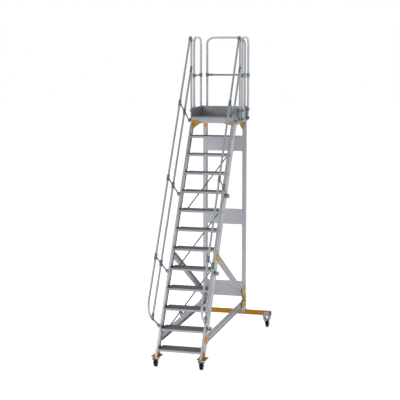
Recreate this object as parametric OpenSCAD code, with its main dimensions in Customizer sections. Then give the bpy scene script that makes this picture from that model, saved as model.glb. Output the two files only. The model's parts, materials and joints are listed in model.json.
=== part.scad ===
// Rolling warehouse ladder: steep aluminium stairs up to a guarded platform, on four swivel casters.
// +Y points from the foot of the stairs to the back, +X to the right seen from the front, +Z up.
// The origin lies on the floor, midway between the ladder's front and rear ends.

/* [Stairs] */
// Angle of the stairs above the floor, in degrees
slope = 60; // [58:1:62]
// Number of treads below the platform
tread_count = 12; // [10:1:12]
// Height from one tread to the next
tread_rise = 240; // [230:5:245]
// Height of the first tread above the floor
first_tread_h = 220; // [215:5:230]
// Depth of a tread from front to back
tread_depth = 232; // [200:4:240]
// Thickness of a tread
tread_t = 28; // [24:1:32]
// Distance from the middle to the outer face of a stile
stile_x = 312; // [300:1:320]
// Depth of a stile, square to the stairs
stile_depth = 158; // [150:2:164]
// Width of a stile's flanges
stile_flange = 28; // [24:1:30]

/* [Platform] */
// Height of the last step, from the top tread to the platform
last_rise = 250; // [240:5:255]
// Depth of the deck from its front edge to the rear posts
deck_depth = 660; // [600:30:720]
// Distance from the middle to the end of the deck planks
deck_x = 304; // [296:1:306]
// Height of the toe boards above the deck
toe_board_h = 128; // [100:2:150]
// Height of the guard rails above the deck
guard_h = 1104; // [1000:4:1120]
// Height of the guards' middle rails above the deck
guard_mid_h = 572; // [500:4:600]

/* [Rear frame] */
// Distance from the middle to the outer face of a rear post
post_x = 320; // [316:1:324]
// Width of a rear post
post_w = 54; // [48:1:56]
// Depth of a rear post
post_d = 60; // [56:1:64]
// Height of the sheet panels between the posts
panel_h = 226; // [200:2:240]
// Length of the base beam without its end caps
beam_l = 1400; // [1300:10:1500]
// Side of the square base beam
beam_s = 60; // [56:1:64]

/* [Rails] */
// Diameter of the handrail tubes
hand_d = 28; // [26:1:30]
// Diameter of the guard tubes
guard_d = 32; // [30:1:33]
// Diameter of the guards' middle rails
guard_mid_d = 26; // [24:1:28]
// Diameter of the handrail struts
strut_d = 20; // [18:1:20]
// Wall thickness of the tubes
tube_wall = 2.5; // [2:0.5:3]
// Distance from the middle to the rails' centre lines
rail_x = 349.5; // [349.5:0.5:351]
// Distance of the handrail from the stairs' front line
hand_off = 480; // [440:5:500]
// Distance of the middle rail from the stairs' front line
mid_off = 220; // [200:5:240]

/* [Casters] */
// Diameter of a caster wheel
wheel_d = 100; // [98:1:100]
// Width of a caster wheel's tyre
wheel_w = 38; // [32:1:38]
// Height of a caster from the floor to the top of its plate
caster_h = 128; // [128:1:132]
// Distance of the wheel axle from the swivel axis
trail = 36; // [32:1:38]
// Distance from the middle to the front casters
front_caster_x = 305; // [300:1:310]
// Distance from the middle to the rear casters
rear_caster_x = 642; // [620:1:645]

/* [Hidden] */
sides = ["left", "right"];
corners = ["front_left", "front_right", "rear_left", "rear_right"];
function two(n) = str(n < 10 ? "0" : "", n);
function tread_name(n) = str("tread_", two(n));

$fn = 48;
gap = 0.1;          // clearance between a tube and the fitting that holds it
alu = "silver";
tube_colour = "gainsboro";
fitting = "slategray";
ochre = "goldenrod";
zinc = "lightsteelblue";

// Stairs: the front line runs through the treads' front edges, and the first of them is at y = 0
tread_run = tread_rise / tan(slope);
function line_y(z) = (z - first_tread_h) / tan(slope);
function tread_y(n) = (n - 1) * tread_run;
function tread_z(n) = first_tread_h + (n - 1) * tread_rise;
stile_t = 4;        // web of a stile
flange_t = 3;       // flanges of stiles and posts
groove_w = 9;       // shallow grooves along the outside of stiles, posts and braces
groove_t = 1.5;
rear_lip = 11;      // narrow lip along the rear edge of a stile
stile_bottom = caster_h + 5;
tread_half = stile_x - stile_flange - 1;

// Platform, from its front edge to the rear face of the posts
deck_z = tread_z(tread_count) + last_rise;
deck_t = 40;
frame_z = deck_z - 2 * deck_t;
deck_y0 = line_y(deck_z);
post_y0 = deck_y0 + deck_depth;
post_y1 = post_y0 + post_d;
post_y = (post_y0 + post_y1) / 2;
plank_count = 6;
head_y0 = deck_y0 + 12;      // head plates between the stiles and the side beams
side_beam_y0 = deck_y0 + 77;
toe_y0 = deck_y0 + 73;
toe_t = 12;
toe_top = deck_z + toe_board_h;
rear_toe_t = 18;

// Base beam and what stands on it
beam_z1 = 246;
beam_z0 = beam_z1 - beam_s;
post_z0 = beam_z1 + 6;
cap_t = 6;

// Braces: channels between the stiles and the posts, each given by two points of its centre line
plate_t = 4;
brace_h = 92;
low_brace = [[200, 331], [post_y0, 352]];
high_brace = [[742, 1336], [post_y0, 474]];
function brace_z(b, y) = b[0].y + (y - b[0].x) * (b[1].y - b[0].y) / (b[1].x - b[0].x);
stile_plates = [[low_brace, 335], [high_brace, 1320]];

// Handrails: the lower bend turns from the bottom strut into the rail, the top bend into the leg
low_strut = 340;                             // place of the bottom strut up along the stairs
low_bend = 190;
top_bend = 38;
strut_low = -110;                            // lower end of the struts, behind the front line
struts = [for (n = [5:4:tread_count + 1])    // place of each strut up along the stairs, and its lower end
    [(n - 1) * tread_rise / sin(slope) - 15, n > tread_count ? -70 : strut_low]];
rail_gap = hand_d / 2 + 1;                   // struts stop this far from a rail's centre line
leg_y = deck_y0 + 143;
leg_z0 = deck_z - 65;
top_cy = leg_y - top_bend;
top_cz = first_tread_h + (hand_off - top_bend + sin(slope) * top_cy) / cos(slope);
top_along = cos(slope) * top_cy + sin(slope) * (top_cz - first_tread_h);
mid_y1 = leg_y - hand_d - 1;
mid_z1 = first_tread_h + (mid_off + sin(slope) * mid_y1) / cos(slope);
mid_along0 = low_strut + hand_d / 2 + 1;
mid_along1 = cos(slope) * mid_y1 + sin(slope) * (mid_z1 - first_tread_h);

// Guards: inverted U tubes with round corners
guard_bend = 100;
side_guard_y = [deck_y0 + 284, deck_y0 + 650];
guard_top = deck_z + guard_h;
guard_mid_z = deck_z + guard_mid_h;
rear_guard_x = 280;
rear_guard_y = post_y1 + 2 + guard_d / 2;
clamp_z = [deck_z - 35, deck_z + 85];

// Casters: swivel axes on the floor plan, and the way the wheel trails along Y
front_caster_y = 12;
wheel_r = wheel_d / 2;
caster_at = [[-front_caster_x, front_caster_y], [front_caster_x, front_caster_y],
             [-rear_caster_x, post_y], [rear_caster_x, post_y]];
caster_dir = [-1, -1, 1, 1];
pin_r = 6;
axle_r = 5;
brake_r = 4;
play = 0.05;        // radial clearance of pins and axles
crown_z = caster_h - 9.3;
leg_in = 24;        // inner face of a fork leg
leg_t = 3;
pedal_y = 62;       // brake pivot ahead of the swivel axis
pedal_z = 108;

// Middle of the ladder's length, from the lower handrail bends to the rear wheels
front_end = cos(slope) * (low_strut + low_bend) - sin(slope) * (hand_off - low_bend)
            - low_bend - hand_d / 2;
rear_end = post_y + trail + wheel_r;
mid_y = (front_end + rear_end) / 2;

// Shifts everything so that the origin lies under the middle of the ladder
module placed() translate([0, -mid_y, 0]) children();

// Repeats a piece on the left-hand side
module both_sides() {
    children();
    mirror([1, 0, 0]) children();
}

module on_side(side) mirror([side == "left" ? 1 : 0, 0, 0]) children();

// Local frame of the stairs: +Y up along the front line, +Z out of the stairs
module on_stairs() translate([0, 0, first_tread_h]) rotate([slope, 0, 0]) children();

// Extrudes an outline of X and depth up along local Y
module up_stairs(from, to) translate([0, from, 0]) rotate([-90, 0, 0]) linear_extrude(to - from) children();

// Extrudes an outline of X and Z along Y
module along_y(from, to) translate([0, to, 0]) rotate([90, 0, 0]) linear_extrude(to - from) children();

// Extrudes an outline of Y and Z along X
module along_x(from, to) translate([from, 0, 0]) rotate([90, 0, 90]) linear_extrude(to - from) children();

// Box from one corner to the opposite one
module block(a, b) translate(a) cube(b - a);

// Straight hollow tube between two points
module tube(a, b, d, wall = tube_wall) {
    v = b - a;
    translate(a) rotate([0, acos(v.z / norm(v)), atan2(v.y, v.x)]) difference() {
        cylinder(d = d, h = norm(v));
        translate([0, 0, -1]) cylinder(d = d - 2 * wall, h = norm(v) + 2);
    }
}

// Solid rod between two points
module rod(a, b, d) {
    v = b - a;
    translate(a) rotate([0, acos(v.z / norm(v)), atan2(v.y, v.x)]) cylinder(d = d, h = norm(v));
}

// Hollow tube bend in the local YZ plane, from one angle to another
module bend(centre, r, d, from, to, wall = tube_wall) translate(centre) rotate([90, 0, 90]) rotate([0, 0, from])
    rotate_extrude(angle = to - from) translate([r, 0]) difference() {
        circle(d = d);
        circle(d = d - 2 * wall);
    }

// ---------- stairs ----------

// Channel outline, open towards the middle, with a shallow groove near each edge of its web
module channel(outer_x, w, d, web, margin) {
    inner_x = outer_x - w;
    difference() {
        translate([inner_x, 0]) square([w, d]);
        translate([inner_x - 1, flange_t]) square([w - web + 1, d - 2 * flange_t]);
        for (y = [margin, d - margin - groove_w]) translate([outer_x - groove_t, y]) square([groove_t + 1, groove_w]);
    }
}

module stile(side) color(alu) on_side(side) intersection() {
    on_stairs() up_stairs(-200, 3600) difference() {
        channel(stile_x, stile_flange, stile_depth, stile_t, 14);
        translate([stile_x - stile_flange - 1, stile_depth - flange_t - 1])
            square([stile_flange + 1 - rear_lip, flange_t + 2]);
    }
    block([0, -300, stile_bottom], [400, 3000, frame_z]);
}

// Tread profile: hollow, with fine grooves on top and a plain front
module tread_outline() {
    cells = 3;
    wall = 2.6;
    cell_w = (tread_depth - (cells + 1) * wall) / cells;
    groove_pitch = 12;
    difference() {
        translate([0, -tread_t]) square([tread_depth, tread_t]);
        for (k = [0:cells - 1]) translate([wall + k * (cell_w + wall), wall - tread_t])
            square([cell_w, tread_t - 2 * wall - 1.4]);
        for (y = [groove_pitch:groove_pitch:tread_depth - 8]) translate([y, -1.2]) square([4, 3]);
    }
}

module tread(n) color("darkgray") translate([0, tread_y(n), tread_z(n)])
    along_x(-tread_half, tread_half) tread_outline();

// Plastic caps that close the tread ends inside the stile channels
module tread_end_caps() color("dimgray") both_sides() intersection() {
    for (n = [1:tread_count]) translate([0, tread_y(n), tread_z(n)])
        block([tread_half, 0, -tread_t], [stile_x - stile_t - gap, tread_depth, -0.4]);
    on_stairs() block([0, -300, gap + flange_t - stile_depth], [400, 3600, -flange_t - gap]);
}

// Hexagon head on the face x, pointing outwards
module bolt_head(x, y, z, size, h) translate([x, y, z]) rotate([0, 90, 0]) cylinder(d = size, h = h, $fn = 6);

// Two bolts hold each tread end, except where a bracket covers them
module tread_bolts() color("darkslategray") both_sides()
    for (n = [2, 3, 4, 6, 7, 8, 10, 11, 12], dy = [32, 62]) if (n <= tread_count)
        bolt_head(stile_x, tread_y(n) + dy, tread_z(n) - tread_t / 2, 17, 8);

// ---------- platform ----------

module plank_outline(w) {
    wall = 2.8;
    pitch = 12;
    difference() {
        square([w, deck_t]);
        for (k = [0, 1]) translate([wall + k * (w - wall) / 2, wall])
            square([(w - 3 * wall) / 2, deck_t - 2 * wall - 1.4]);
        for (y = [8:pitch:w - 8]) translate([y, deck_t - 1.2]) square([4, 3]);
    }
}

module deck_planks() color("darkgray") for (k = [0:plank_count - 1]) {
    w = deck_depth / plank_count;
    translate([0, deck_y0 + k * w, deck_z - deck_t]) along_x(-deck_x, deck_x) plank_outline(w - 0.3);
}

module box_tube_x(x, y0, y1, z0, z1, wall) along_x(-x, x) difference() {
    translate([y0, z0]) square([y1 - y0, z1 - z0]);
    translate([y0 + wall, z0 + wall]) square([y1 - y0 - 2 * wall, z1 - z0 - 2 * wall]);
}

module platform_cross_beams() color(alu) for (y = [deck_y0 + 6, post_y0 - 60])
    box_tube_x(deck_x, y, y + 60, frame_z, deck_z - deck_t, 3);

// Channel beams along the deck, each with a head plate over the top of its stile
module platform_side_beams() color(alu) both_sides() {
    along_y(side_beam_y0, post_y0) difference() {
        translate([deck_x, frame_z]) square([post_x - deck_x, 2 * deck_t]);
        translate([deck_x - 1, frame_z + 3]) square([post_x - deck_x - 2, 2 * deck_t - 6]);
    }
    block([deck_x, head_y0, frame_z], [stile_x, side_beam_y0, deck_z]);
    block([deck_x, side_beam_y0, frame_z], [post_x, side_beam_y0 + 3, deck_z]);
}

module side_toe_boards() color(alu) both_sides() along_y(toe_y0, post_y1) difference() {
    translate([post_x, frame_z]) square([toe_t, toe_top - frame_z]);
    for (z = [frame_z, (frame_z + toe_top) / 2]) translate([post_x + 2, z + 2])
        square([toe_t - 4, (toe_top - frame_z) / 2 - 4]);
    translate([post_x + toe_t - 1, deck_z - 3]) square([2, 6]);
}

module rear_toe_board() color(alu)
    box_tube_x(post_x - 0.5, post_y0 - rear_toe_t, post_y0, deck_z, toe_top, 2);

// ---------- rear frame ----------

module post(side) color(alu) on_side(side) translate([0, post_y0, post_z0])
    linear_extrude(toe_top - post_z0) channel(post_x, post_w, post_d, flange_t, 8);

// Three sheet panels with folded edges, screwed to the front of the posts
module back_panels() color(alu) for (z = [563, 1632, deck_z - 408]) {
    sheet = 2;
    fold = 16;
    block([-289, post_y0 - sheet, z - panel_h / 2], [289, post_y0, z + panel_h / 2]);
    for (s = [-1, 1]) translate([0, 0, z + s * (panel_h / 2 - sheet / 2)])
        block([-post_x + post_w + 1, post_y0 - sheet, -sheet / 2], [post_x - post_w - 1, post_y0 + fold, sheet / 2]);
}

module base_beam() color(ochre)
    box_tube_x(beam_l / 2, post_y - beam_s / 2, post_y + beam_s / 2, beam_z0, beam_z1, 3);

module beam_end_caps() color("black") both_sides() {
    inside = beam_s / 2 - 3.1;
    block([beam_l / 2, post_y - beam_s / 2, beam_z0], [beam_l / 2 + cap_t, post_y + beam_s / 2, beam_z1]);
    block([beam_l / 2 - 15, post_y - inside, beam_z0 + 3.1], [beam_l / 2, post_y + inside, beam_z1 - 3.1]);
}

// Saddles that hold the posts on the beam
module post_foot_clamps() color(zinc) both_sides() translate([post_x - post_w / 2, post_y, 0]) {
    half = beam_s / 2;
    block([-45, -half - 4, beam_z1], [45, half + 4, post_z0]);
    for (s = [-1, 1]) translate([0, s * (half + 2), 0]) block([-30, -2, beam_z1 - 34], [30, 2, beam_z1]);
    block([post_w / 2, -20, post_z0], [post_w / 2 + 4, 20, post_z0 + 30]);
}

// Channel from the rear edge of a stile to the front of a post, open towards the middle
module brace(line) {
    v = line[1] - line[0];
    behind_stile = stile_depth / sin(slope) + 1;
    edge = brace_h / 2;
    intersection() {
        translate([0, line[0].x, line[0].y]) rotate([atan2(v.y, v.x), 0, 0]) along_y(-300, norm(v) + 100)
            difference() {
                translate([stile_x - stile_flange, -edge]) square([stile_flange, brace_h]);
                translate([stile_x - stile_flange - 1, 3 - edge]) square([stile_flange - 2.5, brace_h - 6]);
                for (z = [15 - edge, edge - 15 - groove_w]) translate([stile_x - groove_t, z]) square([2, groove_w]);
            }
        along_x(stile_x - 50, stile_x + 50) polygon([[line_y(0) + behind_stile, 0],
            [line_y(1900) + behind_stile, 1900], [post_y0 - 5, 1900], [post_y0 - 5, 0]]);
    }
}

module lower_braces() color(alu) both_sides() brace(low_brace);

module upper_braces() color(alu) both_sides() brace(high_brace);

// Kite-shaped plate over the joint of a stile and a brace
module stile_bracket(line, z) {
    y = line_y(z) + 32;
    tip = brace_z(line, y + 250);
    along_x(stile_x, stile_x + plate_t) polygon([[y, z - 4], [y + 36, z + 56], [y + 140, z + 60],
        [y + 250, tip], [y + 180, (z + tip) / 2 - 46], [y + 100, z - 66], [y + 44, z - 40]]);
}

// Plate on the outer face of a post, with a spacer down to the brace
module post_bracket(line) {
    front = post_y0 - 216;
    back = post_y1 - 4;
    along_x(post_x, post_x + plate_t) polygon([[front, brace_z(line, front)],
        [front + 44, brace_z(line, front + 44) + 46], [post_y0 + 8, brace_z(line, post_y0 + 8) + 49],
        [back, brace_z(line, back) + 40], [back, brace_z(line, back) - 40],
        [post_y0 + 8, brace_z(line, post_y0 + 8) - 49], [front + 44, brace_z(line, front + 44) - 46]]);
    along_x(stile_x, post_x) polygon([for (p = [[60, -30], [204, -30], [204, 30], [60, 30]])
        [front + p.x, brace_z(line, front + p.x) + p.y]]);
}

module brace_brackets() color(ochre) both_sides() {
    for (p = stile_plates) stile_bracket(p[0], p[1]);
    for (line = [low_brace, high_brace]) post_bracket(line);
}

// Knee plates under the platform, each with a flange along its top, and corner plates on the front beam
module platform_gussets() color(ochre) both_sides() {
    top = frame_z;
    inner = stile_x - stile_flange;
    along_x(inner - 4, inner) polygon([[line_y(top - 72) + 6, top - 72], [line_y(top) + 3, top],
        [deck_y0 + 423, top], [deck_y0 + 423, top - 20], [deck_y0 + 60, top - 70]]);
    block([inner - 44, deck_y0 + 70, top - 4], [inner, deck_y0 + 423, top]);
    along_y(deck_y0 + 2, deck_y0 + 6) polygon([[inner, top - 24], [inner, top + 1], [deck_x, top + 1],
        [deck_x, top + deck_t - 1], [inner - 50, top + deck_t - 1], [inner - 134, top + 8], [inner - 134, top],
        [inner - 40, top - 24]]);
    along_x(post_x - post_w - 4, post_x - post_w) polygon([[post_y0 - 214, top], [post_y1 - 4, top],
        [post_y1 - 4, top - 118], [post_y0 - 24, top - 118], [post_y0 - 214, top - 20]]);
    block([post_x - post_w - 44, post_y0 - 214, top - 4], [post_x - post_w, post_y0 - 60, top]);
}

// Diagonal tie rods behind the treads, three treads apart
module tie_rods() color("dimgray") for (n = [2:3:tread_count - 3]) {
    end_x = 236;
    reach = 19.5;
    off = tread_depth + reach;
    a = [-end_x, tread_y(n) + off, tread_z(n) - tread_t / 2];
    b = [end_x, tread_y(n + 3) + off, tread_z(n + 3) - tread_t / 2];
    rod(a, b, 16);
    for (p = [a, b]) translate(p) {
        block([-13, -reach, -12], [13, 5 - reach, 12]);
        block([-6, -reach, -6], [6, 0, 6]);
    }
}

// ---------- handrails and guards ----------

// Ring of weld around a handrail tube, centred on the joint
module weld_bead() difference() {
    translate([0, 0, -1.5]) cylinder(d = hand_d + 1, h = 3);
    translate([0, 0, -2]) cylinder(d = hand_d - tube_wall, h = 4);
}

module handrail(side) color(tube_colour) on_side(side) {
    on_stairs() {
        rail_end = low_strut + low_bend;
        tube([rail_x, low_strut, strut_low], [rail_x, low_strut, hand_off - low_bend], hand_d);
        bend([rail_x, rail_end, hand_off - low_bend], low_bend, hand_d, 90, 180);
        tube([rail_x, rail_end, hand_off], [rail_x, top_along, hand_off], hand_d);
    }
    bend([rail_x, top_cy, top_cz], top_bend, hand_d, 0, slope + 90);
    on_stairs() translate([rail_x, top_along, hand_off]) rotate([-90, 0, 0]) weld_bead();
    translate([rail_x, leg_y, top_cz]) weld_bead();
    tube([rail_x, leg_y, leg_z0], [rail_x, leg_y, top_cz], hand_d);
}

module mid_rails() color(tube_colour) both_sides() on_stairs()
    tube([rail_x, mid_along0, mid_off], [rail_x, mid_along1, mid_off], hand_d);

module rail_struts() color(tube_colour) both_sides() on_stairs() for (p = struts) {
    tube([rail_x, p[0], p[1]], [rail_x, p[0], mid_off - rail_gap], strut_d);
    tube([rail_x, p[0], mid_off + rail_gap], [rail_x, p[0], hand_off - rail_gap], strut_d);
}

// Block that holds the lower end of a strut to the stile
module strut_holder(d, along, low) on_stairs() difference() {
    block([stile_x, along - 20, low - 5], [rail_x + d / 2 + 5, along + 20, low + (low > strut_low ? 40 : 65)]);
    rod([rail_x, along, low - 10], [rail_x, along, low + 80], d + 2 * gap);
}

module strut_brackets() color(zinc) both_sides() {
    for (p = struts) strut_holder(strut_d, p[0], p[1]);
    strut_holder(hand_d, low_strut, strut_low);
}

// Fitting around a rail, with a sleeve over the strut on each side that it meets
module cross_clamp(along, off, above) on_stairs() difference() {
    union() {
        rod([rail_x, along - 42, off], [rail_x, along + 42, off], hand_d + 11);
        rod([rail_x, along, off - 52], [rail_x, along, off + above], strut_d + 10);
    }
    rod([rail_x, along - 60, off], [rail_x, along + 60, off], hand_d + 2 * gap);
    rod([rail_x, along, off - 70], [rail_x, along, off + (above > 0 ? 70 : 0)], strut_d + 2 * gap);
}

// Tee at the foot of the middle rail, on the bottom strut
module foot_tee() on_stairs() difference() {
    union() {
        rod([rail_x, low_strut, mid_off - 30], [rail_x, low_strut, mid_off + 30], hand_d + 11);
        rod([rail_x, low_strut, mid_off], [rail_x, low_strut + 72, mid_off], hand_d + 9);
    }
    rod([rail_x, low_strut, mid_off - 50], [rail_x, low_strut, mid_off + 50], hand_d + 2 * gap);
    rod([rail_x, low_strut, mid_off], [rail_x, low_strut + 90, mid_off], hand_d + 2 * gap);
}

// Tee at the top of the middle rail, on the handrail's leg
module leg_tee() difference() {
    along = [0, cos(slope), sin(slope)];
    end = [rail_x, mid_y1, mid_z1];
    meet = [rail_x, leg_y, mid_z1 + (leg_y - mid_y1) * tan(slope)];
    union() {
        rod(meet - [0, 0, 16], meet + [0, 0, 16], hand_d + 7);
        rod(end - 20 * along, end + 40 * along, hand_d + 5);
    }
    rod(meet - [0, 0, 120], meet + [0, 0, 120], hand_d + 2 * gap);
    rod(end - 90 * along, end, hand_d + 2 * gap);
}

module rail_clamps() color(fitting) both_sides() {
    for (p = struts) {
        cross_clamp(p[0], mid_off, 52);
        cross_clamp(p[0], hand_off, 0);
    }
    foot_tee();
    leg_tee();
}

// Sleeve round the handrail's top bend, with a collar at each end of the bend
module handrail_elbows() color(fitting) both_sides() {
    d = hand_d + 8;
    wall = 3.3;
    reach = 26;
    bend([rail_x, top_cy, top_cz], top_bend, d, 0, slope + 90, wall);
    tube([rail_x, leg_y, top_cz - reach], [rail_x, leg_y, top_cz], d, wall);
    tube([rail_x, leg_y, top_cz - 3], [rail_x, leg_y, top_cz + 3], d + 3, 3);
    on_stairs() {
        tube([rail_x, top_along - reach, hand_off], [rail_x, top_along, hand_off], d, wall);
        tube([rail_x, top_along - 3, hand_off], [rail_x, top_along + 3, hand_off], d + 3, 3);
    }
}

// Inverted U of guard tube in the local YZ plane, with legs at y0 and y1
module guard_u(x, y0, y1) {
    bend_z = guard_top - guard_bend;
    for (y = [y0, y1]) tube([x, y, leg_z0], [x, y, bend_z], guard_d);
    bend([x, y0 + guard_bend, bend_z], guard_bend, guard_d, 90, 180);
    bend([x, y1 - guard_bend, bend_z], guard_bend, guard_d, 0, 90);
    tube([x, y0 + guard_bend, guard_top], [x, y1 - guard_bend, guard_top], guard_d);
}

module side_guard(side) color(tube_colour) on_side(side) guard_u(rail_x, side_guard_y[0], side_guard_y[1]);

module rear_guard() color(tube_colour) translate([0, rear_guard_y, 0]) rotate([0, 0, -90])
    guard_u(0, -rear_guard_x, rear_guard_x);

module side_guard_rails() color(tube_colour) both_sides()
    tube([rail_x, side_guard_y[0] + guard_d / 2 + 1, guard_mid_z],
         [rail_x, side_guard_y[1] - guard_d / 2 - 1, guard_mid_z], guard_mid_d);

module rear_guard_rail() color(tube_colour)
    tube([guard_d / 2 + 1 - rear_guard_x, rear_guard_y, guard_mid_z],
         [rear_guard_x - guard_d / 2 - 1, rear_guard_y, guard_mid_z], guard_mid_d);

// Tee between a guard leg and its middle rail, which runs along the unit vector dir
module guard_tee(at, dir) difference() {
    up = [0, 0, 1];
    union() {
        rod(at - 26 * up, at + 26 * up, guard_d + 11);
        rod(at, at + 84 * dir, guard_mid_d + 9);
    }
    rod(at - 40 * up, at + 40 * up, guard_d + 2 * gap);
    rod(at, at + 90 * dir, guard_mid_d + 2 * gap);
}

module guard_clamps() color(fitting) {
    both_sides() {
        guard_tee([rail_x, side_guard_y[0], guard_mid_z], [0, 1, 0]);
        guard_tee([rail_x, side_guard_y[1], guard_mid_z], [0, -1, 0]);
        guard_tee([rear_guard_x, rear_guard_y, guard_mid_z], [-1, 0, 0]);
    }
}

// Block that clamps a guard leg to the face beside it, on the local plane y = 0
module leg_clamp(leg_off, d) difference() {
    block([-25, 0, -15], [25, leg_off + d / 2 + 5, 15]);
    rod([0, leg_off, -20], [0, leg_off, 20], d + 2 * gap);
}

module leg_clamps() color(fitting) {
    side_face = post_x + toe_t;
    both_sides() for (z = clamp_z) {
        for (y = side_guard_y) translate([side_face, y, z]) rotate([0, 0, -90]) leg_clamp(rail_x - side_face, guard_d);
        translate([side_face, leg_y, z]) rotate([0, 0, -90]) leg_clamp(rail_x - side_face, hand_d);
        translate([rear_guard_x, post_y1, z]) leg_clamp(rear_guard_y - post_y1, guard_d);
    }
}

// ---------- feet and casters ----------

// Base plate under a stile with a gusset on each side of it
module foot_brackets() color(ochre) both_sides() {
    z0 = caster_h;
    z1 = stile_bottom;
    half = 62;
    y0 = front_caster_y - half;
    y1 = front_caster_y + half + 36;
    block([front_caster_x - half, y0, z0], [front_caster_x + half, y1, z1]);
    along_x(stile_x, stile_x + 4) polygon([[line_y(z1) + 4, z1], [y1, z1], [y1, z1 + 32],
        [line_y(z1 + 84) + 84, z1 + 74], [line_y(z1 + 100) + 34, z1 + 100], [line_y(z1 + 100) + 4, z1 + 100]]);
    along_x(stile_x - stile_flange - 5, stile_x - stile_flange - 1) polygon([[line_y(z1) + 4, z1], [y1, z1],
        [y1, z1 + 14], [line_y(z1 + 46) + 60, z1 + 46], [line_y(z1 + 46) + 4, z1 + 46]]);
}

// Brackets that hang the rear casters under the base beam
module caster_saddles() color(zinc) both_sides() translate([rear_caster_x, post_y, 0]) {
    half = beam_s / 2;
    z0 = caster_h;
    block([-46, -half - 4, z0], [46, half + 4, z0 + 5]);
    for (y = [-half - 4, half]) along_y(y, y + 4) difference() {
        polygon([[-44, z0], [44, z0], [58, z0 + 44], [58, beam_z0], [38, beam_z0 + 6], [38, beam_z1 - 4],
            [-38, beam_z1 - 4], [-38, beam_z0 + 6], [-58, beam_z0], [-58, z0 + 44]]);
        translate([0, z0 + 27]) circle(r = 22);
    }
}

// Top plate of a caster with its raceway and kingpin
module caster_plate() {
    difference() {
        block([-50, -42, caster_h - 4], [50, 42, caster_h]);
        for (x = [-38, 38], y = [-30, 30]) translate([x, y, caster_h - 5]) cylinder(d = 9, h = 6);
    }
    translate([0, 0, caster_h - 9]) cylinder(r = 28, h = 5);
    translate([0, 0, crown_z - 8]) cylinder(r = pin_r, h = 12);
    translate([0, 0, crown_z - 12]) cylinder(r = 11, h = 5.7);
}

module caster_plates() color(zinc) for (c = caster_at) translate([c.x, c.y, 0]) caster_plate();

// Swivel fork with its riveted axle; the wheel trails towards +Y
module fork(with_brake) {
    flare = 13;
    bottom = leg_in + leg_t;
    front_view = [[leg_in, wheel_r - 17], [bottom, wheel_r - 17], [bottom, wheel_r + 12],
        [bottom + flare, crown_z], [leg_in + flare, crown_z], [leg_in, wheel_r + 12]];
    leg = [[-24, crown_z], [34, crown_z], [trail + 18, wheel_r + 8], [trail + 14, wheel_r - 16],
           [trail - 14, wheel_r - 16], [trail - 20, wheel_r + 8], [-24, crown_z - 26]];
    ear = [[20, crown_z], [pedal_y + 8, pedal_z + 6], [pedal_y + 8, pedal_z - 8], [trail, wheel_r + 20]];
    pin_reach = bottom + flare;
    difference() {
        block([-bottom - flare, -26, crown_z - 6], [bottom + flare, 32, crown_z]);
        translate([0, 0, crown_z - 7]) cylinder(r = pin_r + play, h = 8);
    }
    for (s = [0, 1]) mirror([s, 0, 0]) {
        intersection() {
            along_y(-60, pedal_y + 20) polygon(front_view);
            along_x(leg_in - 2, pin_reach + 2) union() {
                polygon(leg);
                if (with_brake) polygon(ear);
            }
        }
        translate([bottom, trail, wheel_r]) rotate([0, 90, 0]) cylinder(r = 9, h = 4);
    }
    rod([-leg_in - 1, trail, wheel_r], [leg_in + 1, trail, wheel_r], 2 * axle_r);
    if (with_brake) rod([-pin_reach, pedal_y, pedal_z], [pin_reach, pedal_y, pedal_z], 2 * brake_r);
}

// Tyre and hub, turned about the X axis
module wheel() translate([0, trail, wheel_r]) rotate([0, 90, 0]) rotate_extrude()
    let (w = wheel_w / 2, r = wheel_r, h = leg_in - 1) polygon([[axle_r + play, -h], [14, -h],
        [16, -w + 7], [r - 14, -w + 7], [r - 12, -w + 1], [r - 4, -w], [r - 1, -w + 3], [r, -w + 8],
        [r, w - 8], [r - 1, w - 3], [r - 4, w], [r - 12, w - 1], [r - 14, w - 7], [16, w - 7],
        [14, h], [axle_r + play, h]]);

// Foot pedal with its barrel and the cam that presses on the tyre
module brake_pedal() translate([0, pedal_y, pedal_z]) {
    half = leg_in + 8;
    difference() {
        union() {
            rod([-half, 0, 0], [half, 0, 0], 15);
            block([-half, 4, -2], [half, 16, 4]);
            block([-28, 14, 0], [28, 44, 4]);
            block([-14, -3, -10], [14, 3, 0]);
            rod([-14, 0, -10.2], [14, 0, -10.2], 6);
        }
        rod([-half - 1, 0, 0], [half + 1, 0, 0], 2 * (brake_r + play));
    }
}

// Puts a caster piece on its swivel axis, turned the way that its wheel trails
module at_caster(k) translate([caster_at[k].x, caster_at[k].y, 0])
    mirror([0, caster_dir[k] < 0 ? 1 : 0, 0]) children();

// Bolt heads on the plates of the braces and the feet
module frame_bolts() color("slategray") both_sides() {
    for (p = stile_plates) {
        y = line_y(p[1]) + 32;
        for (at = [[y + 58, p[1] + 22], [y + 92, p[1] - 34], [y + 186, brace_z(p[0], y + 186)]])
            bolt_head(stile_x + plate_t, at.x, at.y, 18, 7);
    }
    for (line = [low_brace, high_brace]) {
        for (y = [post_y0 - 140, post_y0 - 60]) bolt_head(post_x + plate_t, y, brace_z(line, y), 18, 8);
        for (s = [-1, 1]) bolt_head(post_x + plate_t, post_y + 6, brace_z(line, post_y) + s * 26, 16, 7);
    }
    for (p = [[26, 20], [62, 14], [58, 66]])
        bolt_head(stile_x + 4, line_y(stile_bottom) + p.x, stile_bottom + p.y, 16, 7);
}

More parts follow.
